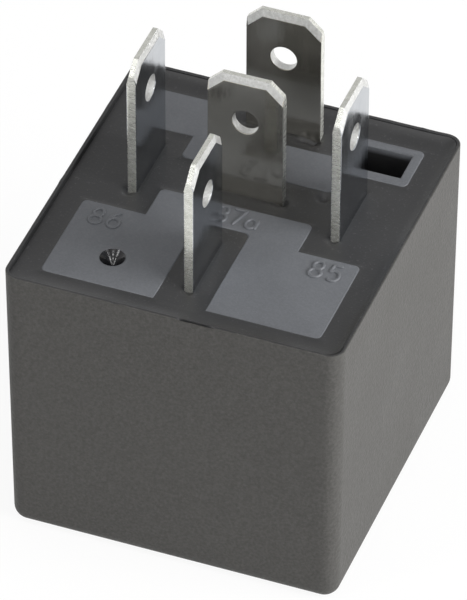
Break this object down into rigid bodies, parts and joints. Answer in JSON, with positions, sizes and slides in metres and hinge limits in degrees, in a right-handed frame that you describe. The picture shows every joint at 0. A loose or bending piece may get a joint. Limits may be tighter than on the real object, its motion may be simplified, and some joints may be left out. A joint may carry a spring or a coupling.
{
  "type": "automotive relay",
  "caption": "Sealed plug-in relay: square cup cover, potted base with flat tinned blades, and a hinged armature over a coil inside.",
  "frame": {"origin": "centre of the flat closed end of the cover", "axes": "+Z along the terminal blades, away from the closed end; +X to the right, towards terminal 85; +Y to the rear, towards terminal 87"},
  "size_m": [0.028, 0.0288, 0.0375],
  "materials": {
    "cover_plastic": "dark grey moulded plastic, fine matt grain",
    "base_plastic": "dark grey moulded plastic, matt",
    "epoxy": "dark potting compound, satin",
    "tinned_brass": "tin-plated brass, bright sheared edges",
    "bobbin_plastic": "natural nylon",
    "enamelled_copper": "enamelled copper wire, glossy",
    "magnet_steel": "soft iron, zinc plated",
    "spring_bronze": "rolled bronze strip",
    "rivet_metal": "plated rivets",
    "contact_silver": "silver alloy"
  },
  "bodies": {
    "housing": {"cover": "cover_plastic", "base": "base_plastic", "epoxy_seal": "epoxy", "terminal_30": "tinned_brass", "terminal_85": "tinned_brass", "terminal_86": "tinned_brass", "terminal_87": "tinned_brass", "terminal_87a": "tinned_brass", "bobbin": "bobbin_plastic", "coil_winding": "enamelled_copper", "coil_lead_85": "enamelled_copper", "coil_lead_86": "enamelled_copper", "core": "magnet_steel", "yoke": "magnet_steel", "yoke_rivets": "rivet_metal", "contact_87": "contact_silver", "contact_87a": "contact_silver"},
    "armature_group": {"armature": "magnet_steel", "armature_rivets": "rivet_metal", "moving_contact": "contact_silver", "contact_spring": "spring_bronze"}
  },
  "joints": [
    {"name": "armature_pull_in", "type": "hinge", "parent": "housing", "child": "armature_group", "pos_m": [0, -0.0102, 0.00647], "axis": [1, 0, 0], "range_deg": [0, 2.6], "stiffness_Nm_per_rad": 0.05, "springref_deg": -6.88, "deforming": ["contact_spring"]}
  ]
}
